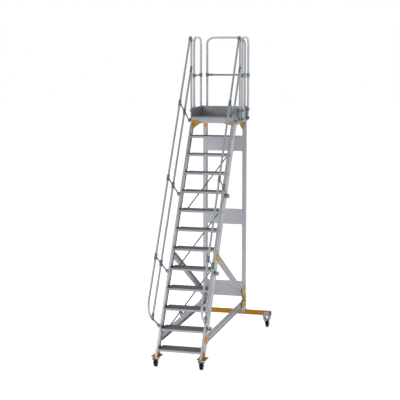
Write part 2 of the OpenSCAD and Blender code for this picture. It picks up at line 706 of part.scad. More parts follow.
for (side = sides) placed() stile(side);
for (n = [1:tread_count]) placed() tread(n);
placed() tread_end_caps();
placed() tread_bolts();
placed() deck_planks();
placed() platform_cross_beams();
placed() platform_side_beams();
placed() side_toe_boards();
placed() rear_toe_board();
for (side = sides) placed() post(side);
placed() back_panels();
placed() base_beam();
placed() beam_end_caps();
placed() post_foot_clamps();
placed() upper_braces();
placed() lower_braces();
placed() brace_brackets();
placed() platform_gussets();
placed() tie_rods();
for (side = sides) placed() handrail(side);
placed() mid_rails();
placed() rail_struts();
placed() strut_brackets();
placed() rail_clamps();
for (side = sides) placed() side_guard(side);
placed() rear_guard();
placed() side_guard_rails();
placed() rear_guard_rail();
placed() guard_clamps();
placed() leg_clamps();
placed() handrail_elbows();
placed() foot_brackets();
placed() caster_saddles();
placed() caster_plates();
placed() frame_bolts();
for (k = [0:3]) placed() at_caster(k) color(zinc) fork(k < 2);
for (k = [0:3]) placed() at_caster(k) color("black") wheel();
for (k = [0, 1]) placed() at_caster(k) color(zinc) brake_pedal();
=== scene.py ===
"""Looks of the rolling warehouse ladder: finished metalwork, fasteners, casters, materials and studio."""

import json
import math

import bmesh
import bpy
from mathutils import Matrix, Vector


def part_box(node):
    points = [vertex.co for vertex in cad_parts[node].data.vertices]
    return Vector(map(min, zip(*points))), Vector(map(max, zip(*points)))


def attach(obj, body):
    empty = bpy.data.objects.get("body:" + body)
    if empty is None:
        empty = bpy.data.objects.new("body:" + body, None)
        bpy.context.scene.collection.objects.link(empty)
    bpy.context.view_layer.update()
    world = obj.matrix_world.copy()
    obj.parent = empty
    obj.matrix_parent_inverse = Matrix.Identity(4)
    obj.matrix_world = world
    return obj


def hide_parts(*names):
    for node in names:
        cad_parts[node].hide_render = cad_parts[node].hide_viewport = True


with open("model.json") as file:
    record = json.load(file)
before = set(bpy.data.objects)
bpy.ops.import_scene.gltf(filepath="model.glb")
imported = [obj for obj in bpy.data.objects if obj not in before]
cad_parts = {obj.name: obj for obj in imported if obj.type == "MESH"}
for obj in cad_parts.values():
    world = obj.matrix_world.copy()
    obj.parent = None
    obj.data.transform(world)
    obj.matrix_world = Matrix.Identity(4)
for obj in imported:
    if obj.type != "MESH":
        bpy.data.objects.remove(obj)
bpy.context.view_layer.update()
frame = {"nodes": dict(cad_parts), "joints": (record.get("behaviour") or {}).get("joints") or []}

# Camera: place and direction in the object's own frame, and lens in millimetres
CAMERA_AT = (4.00548, -14.57377, 4.05843)
CAMERA_TURN = 15.49268
CAMERA_DOWN = 7.66620
LENS = 101.261
SENSOR = 36

MM = 0.001
SLOPE = math.radians(60)
SIDES = ("left", "right")
CORNERS = ("front_left", "front_right", "rear_left", "rear_right")
BODY = "ladder"

# Turns that bring the long direction of a piece onto the grain's own direction, X
ALONG_X = (0, 0, 0)
ALONG_Y = (0, 0, math.radians(-90))
ALONG_Z = (0, math.radians(90), 0)
UP_STAIRS = (-SLOPE, 0, math.radians(-90))

# Studio: the point most lights are aimed at, how far out the floor reaches, and how much it glows
STUDIO_MIDDLE = (0, 0, 1.8)
FLOOR_REACH = 60
FLOOR_GLOW = 0.62
# Name, place, aim, width in metres and power in watts of each soft light
LIGHTS = (
    ("key", (-5.5, -7.5, 7.5), STUDIO_MIDDLE, 5, 330),
    ("fill", (7.5, -6, 4), STUDIO_MIDDLE, 5, 60),
    ("rear", (2, 7, 6.5), STUDIO_MIDDLE, 5, 25),
    ("top", (0, 0, 9), (0, 0, 0), 6, 40),
)
# The surroundings go from grey at the foot of the stairs to white behind the ladder, at these shares of the way
SURROUND_GREY, GREY_UNTIL = (0.30, 0.31, 0.33), 0.45
SURROUND_WHITE, WHITE_FROM = (1, 1, 1), 0.93

# Distance between the cuts across the ribs of a walking surface
TOOTH = 0.011

# Mesh clean-up and shading, with angles in degrees
MERGE = 1e-6
COPLANAR = 0.8
SMOOTH_BELOW = 35
BEVEL_ABOVE = 38
BEVEL_STEPS = 2

# Grooves in the profiles: depth, slack in it, and the area in square metres that a groove's floor exceeds
GROOVE_DEPTH, GROOVE_SLACK, GROOVE_FACE = 1.5 * MM, 0.3 * MM, 0.002

# Fasteners: width across flats and height of the hexagon heads, and radii of the round ones
TREAD_BOLT = 13 * MM
FRAME_BOLT = 16 * MM
BEAM_BOLT, BEAM_BOLT_HEIGHT = 13 * MM, 8 * MM
AXLE_NUT, AXLE_NUT_HEIGHT = 13 * MM, 7 * MM
PLATE_BOLT, PLATE_BOLT_HEIGHT = 12 * MM, 7.5 * MM
CLAMP_SCREW = 4.4 * MM
PANEL_RIVET, BOARD_RIVET, PLATE_RIVET = 5 * MM, 4.5 * MM, 6.5 * MM


# ---------- studio ----------

def make_camera():
    """Camera at the photograph's place and viewing angle."""
    data = bpy.data.cameras.new("camera")
    data.lens = LENS
    data.sensor_width = SENSOR
    data.clip_end = 200
    camera = bpy.data.objects.new("camera", data)
    camera.location = CAMERA_AT
    camera.rotation_euler = (math.radians(90 - CAMERA_DOWN), 0, math.radians(CAMERA_TURN))
    bpy.context.scene.collection.objects.link(camera)
    bpy.context.scene.camera = camera


def soft_light(name, place, target, size, power):
    """Round area light at a place, turned to its target."""
    data = bpy.data.lights.new(name, "AREA")
    data.shape = "DISK"
    data.size = size
    data.energy = power
    light = bpy.data.objects.new(name, data)
    light.location = place
    light.rotation_euler = (Vector(target) - Vector(place)).to_track_quat("-Z", "Y").to_euler()
    bpy.context.scene.collection.objects.link(light)


def make_studio():
    """World that is grey before the ladder and white behind it, and the soft lights."""
    world = bpy.data.worlds.new("studio")
    world.use_nodes = True
    tree = world.node_tree
    background = tree.nodes["Background"]
    background.inputs["Strength"].default_value = 1.0
    coords = tree.nodes.new("ShaderNodeTexCoord")
    split = tree.nodes.new("ShaderNodeSeparateXYZ")
    ramp = tree.nodes.new("ShaderNodeValToRGB")
    spread = tree.nodes.new("ShaderNodeMapRange")
    spread.inputs["From Min"].default_value = -1
    tree.links.new(coords.outputs["Generated"], split.inputs[0])
    tree.links.new(split.outputs["Y"], spread.inputs["Value"])
    tree.links.new(spread.outputs["Result"], ramp.inputs["Fac"])
    tree.links.new(ramp.outputs["Color"], background.inputs["Color"])
    ends = ((SURROUND_GREY, GREY_UNTIL), (SURROUND_WHITE, WHITE_FROM))
    for element, (colour, position) in zip(ramp.color_ramp.elements, ends):
        element.color = (*colour, 1)
        element.position = position
    bpy.context.scene.world = world
    bpy.context.scene.view_settings.view_transform = "Standard"
    for light in LIGHTS:
        soft_light(*light)


def make_floor():
    """Wide pale sheet under the wheels."""
    bm = bmesh.new()
    bmesh.ops.create_grid(bm, x_segments=1, y_segments=1, size=FLOOR_REACH)
    floor = new_object("floor", bm)
    floor.data.materials.append(FLOOR)


# ---------- materials ----------

class Graph:
    """A material's node tree, with one short call for each kind of node."""

    def __init__(self, name):
        self.material = bpy.data.materials.new(name)
        self.material.use_nodes = True
        self.tree = self.material.node_tree
        self.shader = self.tree.nodes["Principled BSDF"]
        self.coords = self.tree.nodes.new("ShaderNodeTexCoord").outputs["Object"]

    def link(self, source, target):
        self.tree.links.new(source, target)

    def mapped(self, source, rotation=(0, 0, 0), scale=(1, 1, 1)):
        node = self.tree.nodes.new("ShaderNodeMapping")
        node.inputs["Rotation"].default_value = rotation
        node.inputs["Scale"].default_value = scale
        self.link(source, node.inputs["Vector"])
        return node.outputs["Vector"]

    def noise(self, source, scale, detail=3, roughness=0.55):
        node = self.tree.nodes.new("ShaderNodeTexNoise")
        node.inputs["Scale"].default_value = scale
        node.inputs["Detail"].default_value = detail
        node.inputs["Roughness"].default_value = roughness
        self.link(source, node.inputs["Vector"])
        return node.outputs["Fac"]

    def span(self, source, low, high, from_low=0.3, from_high=0.7):
        node = self.tree.nodes.new("ShaderNodeMapRange")
        node.inputs["From Min"].default_value = from_low
        node.inputs["From Max"].default_value = from_high
        node.inputs["To Min"].default_value = low
        node.inputs["To Max"].default_value = high
        self.link(source, node.inputs["Value"])
        return node.outputs["Result"]

    def mix(self, factor, a, b):
        node = self.tree.nodes.new("ShaderNodeMix")
        node.data_type = "RGBA"
        self.link(factor, node.inputs[0])
        for value, socket in ((a, node.inputs[6]), (b, node.inputs[7])):
            if isinstance(value, tuple):
                socket.default_value = (*value, 1)
            else:
                self.link(value, socket)
        return node.outputs[2]

    def bump(self, height, strength, distance):
        node = self.tree.nodes.new("ShaderNodeBump")
        node.inputs["Strength"].default_value = strength
        node.inputs["Distance"].default_value = distance
        self.link(height, node.inputs["Height"])
        self.link(node.outputs["Normal"], self.shader.inputs["Normal"])

    def scuffs(self, amount):
        """Factor of small, sparse spots where handling has rubbed the surface."""
        return self.span(self.noise(self.coords, 60, 5, 0.7), 0, amount, 0.62, 0.72)


def tint(colour, amount):
    """The colour made darker or lighter by an amount."""
    return tuple(min(1.0, channel * amount) for channel in colour)


def extruded(name, colour, rough, turn, metallic=0.75, contrast=0.07, specular=0.5):
    """Drawn or extruded metal: fine lines along the piece, faint blotches and rubbed spots."""
    graph = Graph(name)
    turned = graph.mapped(graph.coords, rotation=turn)
    lines = graph.noise(graph.mapped(turned, scale=(0.8, 55, 55)), 9, 4, 0.65)
    blotches = graph.noise(graph.coords, 4.5, 4)
    base = graph.mix(graph.span(blotches, 0, 1), tint(colour, 1 - contrast), tint(colour, 1 + contrast / 2))
    lined = graph.mix(graph.span(lines, 0, 0.55), base, tint(colour, 1 - 1.8 * contrast))
    graph.link(graph.mix(graph.scuffs(0.6), lined, tint(colour, 1.12)), graph.shader.inputs["Base Color"])
    graph.link(graph.span(lines, rough - 0.07, rough + 0.09), graph.shader.inputs["Roughness"])
    graph.shader.inputs["Metallic"].default_value = metallic
    graph.shader.inputs["Specular IOR Level"].default_value = specular
    graph.bump(lines, 0.12, 0.0004)
    return graph.material


def coated(name, colour, rough, worn, peel=0.1, metallic=0.0, specular=0.45):
    """Powder coat or paint: orange peel, slow colour drift, dust and spots worn to another colour."""
    graph = Graph(name)
    peel_noise = graph.noise(graph.coords, 420, 3)
    drift = graph.noise(graph.coords, 7, 5)
    base = graph.mix(graph.span(drift, 0, 1), tint(colour, 0.86), tint(colour, 1.1))
    dust = graph.span(graph.noise(graph.coords, 38, 6, 0.7), 0, 0.2, 0.5, 0.75)
    dusty = graph.mix(dust, base, tint(colour, 1.3))
    graph.link(graph.mix(graph.scuffs(0.75), dusty, worn), graph.shader.inputs["Base Color"])
    graph.link(graph.span(drift, rough - 0.06, rough + 0.1), graph.shader.inputs["Roughness"])
    graph.shader.inputs["Metallic"].default_value = metallic
    graph.shader.inputs["Specular IOR Level"].default_value = specular
    graph.bump(peel_noise, peel, 0.0005)
    return graph.material


def plated(name, colour, rough):
    """Zinc plate: crystalline patches, a slight drift to warmer grey and rubbed spots."""
    graph = Graph(name)
    voronoi = graph.tree.nodes.new("ShaderNodeTexVoronoi")
    voronoi.inputs["Scale"].default_value = 160
    graph.link(graph.coords, voronoi.inputs["Vector"])
    drift = graph.noise(graph.coords, 24, 5)
    warm = (colour[0] * 1.02, colour[1] * 0.99, colour[2] * 0.9)
    base = graph.mix(graph.span(drift, 0, 1), tint(colour, 0.9), warm)
    spangled = graph.mix(graph.span(voronoi.outputs["Distance"], 0, 0.3, 0, 0.6), base, tint(colour, 0.72))
    graph.link(graph.mix(graph.scuffs(0.5), spangled, tint(colour, 1.15)), graph.shader.inputs["Base Color"])
    graph.link(graph.span(drift, rough - 0.08, rough + 0.12), graph.shader.inputs["Roughness"])
    graph.shader.inputs["Metallic"].default_value = 0.85
    graph.bump(drift, 0.1, 0.0006)
    return graph.material


def ribbed_top(name, colour, rough):
    """Walking surface: scuffed and dirty, darker overall than the step's front, with painted shade in the cuts
    across the ribs, a tooth apart.
    """
    graph = Graph(name)
    wave = graph.tree.nodes.new("ShaderNodeTexWave")
    wave.bands_direction = "X"
    wave.inputs["Scale"].default_value = 1 / TOOTH / 20 * 2 * math.pi
    wave.inputs["Distortion"].default_value = 0.4
    graph.link(graph.coords, wave.inputs["Vector"])
    scuffs = graph.noise(graph.mapped(graph.coords, scale=(1, 3, 1)), 14, 6, 0.7)
    base = graph.mix(graph.span(scuffs, 0, 1, 0.35, 0.7), tint(colour, 0.8), tint(colour, 1.15))
    # Painted shade: darker bands where the cuts between the teeth across the ribs would lie in shade
    cuts = graph.mix(graph.span(wave.outputs["Fac"], 0.35, 0, 0, 0.4), base, tint(colour, 0.55))
    graph.link(graph.mix(graph.scuffs(0.8), cuts, tint(colour, 1.5)), graph.shader.inputs["Base Color"])
    graph.link(graph.span(scuffs, rough - 0.1, rough + 0.12), graph.shader.inputs["Roughness"])
    graph.shader.inputs["Metallic"].default_value = 0.6
    graph.bump(wave.outputs["Fac"], 0.35, 0.0008)
    return graph.material


def moulded(name, colour, rough, specular=0.5):
    """Plastic or rubber: matt, with fine grain and dust."""
    graph = Graph(name)
    grain = graph.noise(graph.coords, 650, 4)
    dust = graph.noise(graph.coords, 45, 6, 0.7)
    graph.link(graph.mix(graph.span(dust, 0, 0.5, 0.45, 0.8), colour, tuple(c + 0.06 for c in colour)),
               graph.shader.inputs["Base Color"])
    graph.link(graph.span(dust, rough - 0.08, rough + 0.1), graph.shader.inputs["Roughness"])
    graph.shader.inputs["Specular IOR Level"].default_value = specular
    graph.bump(grain, 0.18, 0.0004)
    return graph.material


def floor_finish():
    """Pale paper that glows a little, so that the floor stays as light as the background."""
    graph = Graph("floor_paper")
    tone = graph.noise(graph.coords, 0.6, 3)
    graph.link(graph.mix(graph.span(tone, 0, 1), (0.93, 0.93, 0.93), (0.95, 0.95, 0.95)),
               graph.shader.inputs["Base Color"])
    graph.shader.inputs["Roughness"].default_value = 0.9
    graph.shader.inputs["Specular IOR Level"].default_value = 0.1
    graph.shader.inputs["Emission Color"].default_value = (1, 1, 1, 1)
    graph.shader.inputs["Emission Strength"].default_value = FLOOR_GLOW
    return graph.material


BARE = (0.50, 0.51, 0.54)
TUBE = (0.50, 0.52, 0.54)
RAIL = (0.42, 0.44, 0.455)
SHORT = (0.26, 0.285, 0.29)
SHADOW = (0.05, 0.052, 0.056)
BOARD = (0.33, 0.35, 0.385)
STEP = (0.43, 0.45, 0.475)
# Colour of the ribbed tops of the steps and deck, darker than their fronts and sides
DARK_TREAD_TOP = (0.16, 0.162, 0.162)
STRUT_GREY = (0.27, 0.30, 0.305)
CAST, CAST_WORN = (0.17, 0.195, 0.205), (0.45, 0.48, 0.5)
OCHRE, OCHRE_WORN = (0.43, 0.20, 0.006), (0.5, 0.38, 0.2)
LIGHT_OCHRE, LIGHT_OCHRE_WORN = (0.55, 0.29, 0.045), (0.6, 0.48, 0.3)
BRIGHT_ZINC, BOLT_ZINC = (0.29, 0.33, 0.37), (0.36, 0.39, 0.43)
DULL_STEEL = (0.12, 0.127, 0.135)
BLACK, HUB_GREY, TYRE_BLACK = (0.018, 0.018, 0.02), (0.06, 0.062, 0.065), (0.006, 0.006, 0.007)

STILE_ALU = extruded("stile_aluminium", tint(BARE, 0.8), 0.38, UP_STAIRS)
POST_ALU = extruded("post_aluminium", tint(BARE, 0.97), 0.38, ALONG_Z)
CROSS_ALU = extruded("cross_aluminium", BARE, 0.38, ALONG_X)
LONG_ALU = extruded("long_aluminium", BARE, 0.38, ALONG_Y)
TUBE_ALU = extruded("rail_aluminium", RAIL, 0.34, UP_STAIRS, contrast=0.05, metallic=0.55)
GUARD_ALU = extruded("guard_aluminium", TUBE, 0.32, ALONG_Z, contrast=0.05, metallic=0.65)
SHORT_RAIL = extruded("short_rail_aluminium", SHORT, 0.3, ALONG_Y, contrast=0.06)
# Near-black floors of the grooves: painted shade in the recesses
GROOVE_SHADE = extruded("groove_shadow", SHADOW, 0.6, ALONG_Z, metallic=0.2, specular=0.2)
# Braces get a darker copy of the bare aluminium: painted shade
SHADED_BRACE_ALU = extruded("brace_aluminium_shaded", tint(BARE, 0.64), 0.4, ALONG_Y)
BOARD_ALU = extruded("board_aluminium_grain", BOARD, 0.42, ALONG_Y)
PANEL_ALU = extruded("panel_aluminium", tint(BARE, 0.95), 0.45, ALONG_X, metallic=0.5)
STEP_ALU = extruded("step_aluminium_grain", STEP, 0.42, ALONG_X)
RIBBED = ribbed_top("step_ribbed_top", DARK_TREAD_TOP, 0.58)
STRUT = extruded("strut_steel", STRUT_GREY, 0.36, ALONG_Z, contrast=0.1)
CLAMP = coated("clamp_casting", CAST, 0.42, CAST_WORN, peel=0.25, metallic=0.35)
PAINT = coated("ochre_powder_coat", OCHRE, 0.5, OCHRE_WORN, specular=0.08)
BRACKET_PAINT = coated("bracket_powder_coat", LIGHT_OCHRE, 0.5, LIGHT_OCHRE_WORN, specular=0.15)
ZINC = plated("bright_zinc", BRIGHT_ZINC, 0.27)
STEEL = extruded("dull_steel", DULL_STEEL, 0.4, ALONG_X, contrast=0.12)
BOLT_STEEL = plated("bolt_zinc", BOLT_ZINC, 0.36)
PLASTIC = moulded("black_plastic", BLACK, 0.5)
HUB_PLASTIC = moulded("grey_plastic", HUB_GREY, 0.5, specular=0.3)
RUBBER = moulded("tyre_black", TYRE_BLACK, 0.7, specular=0.15)
FLOOR = floor_finish()

FINISHES = (
    (STILE_ALU, "stile_left stile_right"),
    (POST_ALU, "post_left post_right"),
    (SHADED_BRACE_ALU, "upper_braces lower_braces"),
    (LONG_ALU, "platform_side_beams"),
    (CROSS_ALU, "platform_cross_beams"),
    (PANEL_ALU, "back_panels rear_toe_board"),
    (BOARD_ALU, "side_toe_boards"),
    (STEEL, "tie_rods"),
    (PAINT, "base_beam foot_brackets"),
    (BRACKET_PAINT, "brace_brackets platform_gussets"),
    (ZINC, "post_foot_clamps strut_brackets caster_saddles caster_plates"),
    (CLAMP, "rail_clamps guard_clamps leg_clamps handrail_elbows"),
    # The black of the tread end caps is partly the caps' own plastic and partly painted shade where the treads
    # run into the stiles' channels
    (PLASTIC, "beam_end_caps tread_end_caps"),
    (TUBE_ALU, "handrail_left handrail_right mid_rails"),
    (STRUT, "rail_struts"),
    (GUARD_ALU, "side_guard_left side_guard_right rear_guard"),
    (SHORT_RAIL, "side_guard_rails rear_guard_rail"),
)
NODE_FINISH = {node: material for material, nodes in FINISHES for node in nodes.split()}


# ---------- mesh helpers ----------

def new_object(name, bm):
    """Makes an object of bm, shaded smooth apart from its sharp edges."""
    bmesh.ops.recalc_face_normals(bm, faces=bm.faces)
    for face in bm.faces:
        face.smooth = True
    limit = math.radians(SMOOTH_BELOW)
    for edge in bm.edges:
        edge.smooth = len(edge.link_faces) == 2 and edge.calc_face_angle(0) < limit
    mesh = bpy.data.meshes.new(name)
    bm.to_mesh(mesh)
    bm.free()
    piece = bpy.data.objects.new(name, mesh)
    bpy.context.scene.collection.objects.link(piece)
    return piece


def dress(piece, materials, body=BODY, nodes=()):
    """Gives a piece its materials, puts it on its body and lets it stand for CAD nodes."""
    for material in materials:
        piece.data.materials.append(material)
    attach(piece, body)
    if nodes:
        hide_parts(*nodes)
    return piece


def facing(point, direction):
    """Matrix that puts the origin at a point and turns +Z to a direction."""
    turn = Vector(direction).normalized().to_track_quat("Z", "Y").to_matrix().to_4x4()
    return Matrix.Translation(point) @ turn


def lathe(bm, place, profile, steps):
    """Turns an outline of radius and height about local Z. Radius 0 closes an end."""
    rings = []
    for radius, height in profile:
        count = steps if radius > 1e-6 else 1
        angles = [2 * math.pi * k / steps for k in range(count)]
        rings.append([bm.verts.new(place @ Vector((radius * math.cos(a), radius * math.sin(a), height)))
                      for a in angles])
    for low, high in zip(rings, rings[1:]):
        for k in range(steps):
            j = (k + 1) % steps
            corners = (low[k % len(low)], low[j % len(low)], high[j % len(high)], high[k % len(high)])
            corners = list(dict.fromkeys(corners))
            if len(corners) > 2:
                bm.faces.new(corners)


def islands(node):
    """Lowest corner, highest corner and points of each separate solid in a CAD node."""
    bm = bmesh.new()
    bm.from_mesh(frame["nodes"][node].data)
    bmesh.ops.remove_doubles(bm, verts=bm.verts, dist=MERGE)
    found, seen = [], set()
    for start in bm.verts:
        if start in seen:
            continue
        seen.add(start)
        stack, points = [start], []
        while stack:
            vert = stack.pop()
            points.append(vert.co.copy())
            for edge in vert.link_edges:
                other = edge.other_vert(vert)
                if other not in seen:
                    seen.add(other)
                    stack.append(other)
        low = Vector(min(p[k] for p in points) for k in range(3))
        high = Vector(max(p[k] for p in points) for k in range(3))
        found.append((low, high, points))
    bm.free()
    return found


def crest(points, direction):
    """Both ends of the line of points that reach furthest in a direction, the lower one first."""
    reach = max(p.dot(direction) for p in points)
    line = sorted((p for p in points if p.dot(direction) > reach - 0.2 * MM), key=lambda p: (p.z, p.y))
    return line[0], line[-1]


def finish_node(node, width):
    """Stands a copy with rounded edges in for a CAD node."""
    bm = bmesh.new()
    bm.from_mesh(frame["nodes"][node].data)
    bmesh.ops.remove_doubles(bm, verts=bm.verts, dist=MERGE)
    bmesh.ops.dissolve_limit(bm, angle_limit=math.radians(COPLANAR), verts=bm.verts, edges=bm.edges)
    piece = new_object(node + "_finished", bm)
    bevel = piece.modifiers.new("bevel", "BEVEL")
    bevel.width = width
    bevel.segments = BEVEL_STEPS
    bevel.limit_method = "ANGLE"
    bevel.angle_limit = math.radians(BEVEL_ABOVE)
    bevel.harden_normals = True
    depsgraph = bpy.context.evaluated_depsgraph_get()
    rounded = bpy.data.meshes.new_from_object(piece.evaluated_get(depsgraph), depsgraph=depsgraph)
    piece.modifiers.clear()
    piece.data = rounded
    piece.data.materials.clear()
    return piece


def darken_grooves(piece):
    """Gives the grooves that run along a piece's outer faces the second material, a near-black painted shade in
    the recesses.
    """
    outer = max(abs(v.co.x) for v in piece.data.vertices)
    for face in piece.data.polygons:
        inset = outer - abs(face.center.x)
        if GROOVE_SLACK < inset < GROOVE_DEPTH + GROOVE_SLACK and face.area > GROOVE_FACE:
            face.material_index = 1


# ---------- fasteners ----------

def hex_bolt(bm, point, direction, across, height):
    """Hexagon head with a chamfered top on a washer."""
    place = facing(point, direction)
    washer, chamfer = 1.6 * MM, 0.12 * across
    rim, edge = 0.68 * across, 0.3 * MM
    lathe(bm, place, [(0, 0), (rim, 0), (rim, washer - edge), (rim - edge, washer), (0, washer)], 28)
    corner = across / math.sqrt(3)
    lathe(bm, place, [(0, washer), (corner, washer), (corner, height - chamfer), (0.84 * corner, height),
                      (0, height)], 6)


def socket_screw(bm, point, direction, radius, height):
    """Round head with a hollow for the key."""
    place = facing(point, direction)
    edge, key = 0.12 * radius, 0.5 * radius
    lathe(bm, place, [(0, 0), (radius, 0), (radius, height - edge), (radius - edge, height), (key, height),
                      (key, 0.35 * height), (0, 0.35 * height)], 20)


def rivet(bm, point, direction, radius):
    """Domed head with a rim."""
    place = facing(point, direction)
    rim, height = 0.2 * MM, 0.35 * radius
    dome = [(radius * math.cos(a), height * math.sin(a) + rim)
            for a in (math.radians(t) for t in (0, 20, 40, 60, 78))]
    lathe(bm, place, [(radius, 0)] + dome + [(0, height + rim)], 16)


def outward(x):
    """Direction away from the ladder's middle plane."""
    return Vector((math.copysign(1, x), 0, 0))


def make_bolts(node, across):
    """Detailed bolts in place of a node of plain heads that all point away from the middle."""
    bm = bmesh.new()
    for low, high, _ in islands(node):
        middle = (low + high) / 2
        inner = low.x if middle.x > 0 else high.x
        hex_bolt(bm, (inner, middle.y, middle.z), outward(middle.x), across, high.x - low.x)
    dress(new_object(node + "_detailed", bm), [BOLT_STEEL], nodes=[node])


def make_clamp_screws():
    """Two socket screws on the outer side of every clamp on the rails and guards."""
    bm = bmesh.new()
    sunk = 1.2 * MM
    guard_rear_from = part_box("post_right")[1].y
    for node in ("rail_clamps", "guard_clamps", "leg_clamps"):
        for low, high, points in islands(node):
            middle = (low + high) / 2
            direction = outward(middle.x)
            if node != "rail_clamps" and middle.y > guard_rear_from:
                direction = Vector((0, 1, 0))
            first, last = crest(points, direction)
            for share in (0.2, 0.8):
                point = first.lerp(last, share) - direction * sunk
                socket_screw(bm, point, direction, CLAMP_SCREW, CLAMP_SCREW)
    dress(new_object("clamp_screws", bm), [BOLT_STEEL])


def make_rivets():
    """Rivets at the ends of the back panels and along the side toe boards."""
    bm = bmesh.new()
    post_low, post_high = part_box("post_right")
    inset, from_edge = 12 * MM, 30 * MM
    post_x = (post_low.x + post_high.x) / 2 - inset
    for low, high, _ in islands("back_panels"):
        for x in (-post_x, post_x):
            for share in (0.14, 0.5, 0.86):
                rivet(bm, (x, low.y, low.z + share * (high.z - low.z)), (0, -1, 0), PANEL_RIVET)
    for low, high, _ in islands("side_toe_boards"):
        x = high.x if low.x > 0 else low.x
        for share in (0.12, 0.5, 0.88):
            for z in (high.z - from_edge, low.z + from_edge):
                rivet(bm, (x, low.y + share * (high.y - low.y), z), outward(x), BOARD_RIVET)
    dress(new_object("panel_rivets", bm), [BOLT_STEEL])


def make_beam_hardware():
    """Through bolts of the beam clamps and caster saddles."""
    bm = bmesh.new()
    beam_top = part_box("base_beam")[1].z
    for node, inset, drop in (("post_foot_clamps", 18 * MM, 22 * MM), ("caster_saddles", 24 * MM, 18 * MM)):
        for low, high, _ in islands(node):
            for x in (low.x + inset, high.x - inset):
                for y, direction in ((low.y, -1), (high.y, 1)):
                    hex_bolt(bm, (x, y, beam_top - drop), (0, direction, 0), BEAM_BOLT, BEAM_BOLT_HEIGHT)
    dress(new_object("beam_bolts", bm), [BOLT_STEEL])


# ---------- stairs and deck ----------

def arc(cx, cy, radius, start, end, steps):
    """Points on an arc, by its angles in degrees."""
    return [(cx + radius * math.cos(a), cy + radius * math.sin(a))
            for a in (math.radians(start + (end - start) * k / steps) for k in range(steps + 1))]


def plank_profile(depth, height, nose):
    """Outline of a ribbed plank: rounded corners, two lines in the front and fine ribs on top."""
    line, pitch, rib_depth = 1.2 * MM, 8 * MM, 1.8 * MM
    points = arc(nose, -height + nose, nose, 270, 180, 4)
    for z in (-0.62 * height, -0.34 * height):
        points += [(0, z - line), (line, z - 0.6 * line), (line, z + 0.6 * line), (0, z + line)]
    points += arc(nose, -nose, nose, 180, 90, 4)
    count = int((depth - 2 * nose - 6 * MM) / pitch)
    start = (depth - count * pitch) / 2
    for k in range(count):
        y = start + k * pitch
        points += [(y, 0), (y + 0.9 * MM, -rib_depth), (y + 3.1 * MM, -rib_depth), (y + 4 * MM, 0)]
    points += arc(depth - nose, -nose, nose, 90, 0, 3)
    points += arc(depth - nose, -height + nose, nose, 0, -90, 3)
    return points


def ribbed_plank(bm, low, high, nose):
    """Extrudes the plank outline along X; the ribbed top gets the second material."""
    outline = plank_profile(high.y - low.y, high.z - low.z, nose)
    ends = [[bm.verts.new((x, low.y + y, high.z + z)) for y, z in outline] for x in (low.x, high.x)]
    for k, (y, z) in enumerate(outline):
        j = (k + 1) % len(outline)
        face = bm.faces.new((ends[0][k], ends[0][j], ends[1][j], ends[1][k]))
        top = min(z, outline[j][1]) > -2 * MM and y > 2 * MM
        face.material_index = 1 if top else 0
    bm.faces.new(ends[0])
    bm.faces.new(ends[1][::-1])


def make_treads():
    """A ribbed step in place of each plain tread."""
    for node in sorted(n for n in frame["nodes"] if n.startswith("tread_") and n[-1].isdigit()):
        bm = bmesh.new()
        ribbed_plank(bm, *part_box(node), 4 * MM)
        dress(new_object(node + "_ribbed", bm), [STEP_ALU, RIBBED], nodes=[node])


def make_deck():
    """Ribbed planks in place of the plain deck."""
    bm = bmesh.new()
    node = "deck_planks"
    for low, high, _ in islands(node):
        ribbed_plank(bm, low, high, 3 * MM)
    dress(new_object("deck_ribbed", bm), [STEP_ALU, RIBBED], nodes=[node])


# ---------- tubes ----------

def tube_plug(bm, point, direction, radius):
    """Domed plastic plug in the open end of a tube."""
    place = facing(point, direction)
    bore, depth = radius - 2.7 * MM, 8 * MM
    lathe(bm, place, [(0, -depth), (bore, -depth), (bore, 0), (radius, 0),
                      (radius, 1.2 * MM), (radius - 1.5 * MM, 2.6 * MM), (0, 3.2 * MM)], 28)


def make_plugs():
    """Plugs in the lower ends of the guards' and handrails' legs."""
    bm = bmesh.new()
    down = (0, 0, -1)
    swell = 0.5 * MM
    for side in SIDES:
        low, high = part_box("side_guard_" + side)
        x, radius = (low.x + high.x) / 2, (high.x - low.x) / 2
        for y in (low.y + radius, high.y - radius):
            tube_plug(bm, (x, y, low.z), down, radius)
        rail_low, rail_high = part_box("handrail_" + side)
        hand_radius = (rail_high.x - rail_low.x) / 2 - swell
        leg_y = rail_high.y - hand_radius - swell
        tube_plug(bm, (x, leg_y, low.z), down, hand_radius)
    low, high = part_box("rear_guard")
    radius = (high.y - low.y) / 2
    for x in (low.x + radius, high.x - radius):
        tube_plug(bm, (x, low.y + radius, low.z), down, radius)
    dress(new_object("tube_plugs", bm), [PLASTIC])


# ---------- casters ----------

def wheel_centre(corner):
    """Middle of a wheel, its radius and half the length of its hub."""
    low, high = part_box("wheel_" + corner)
    return (low + high) / 2, (high.z - low.z) / 2, (high.x - low.x) / 2


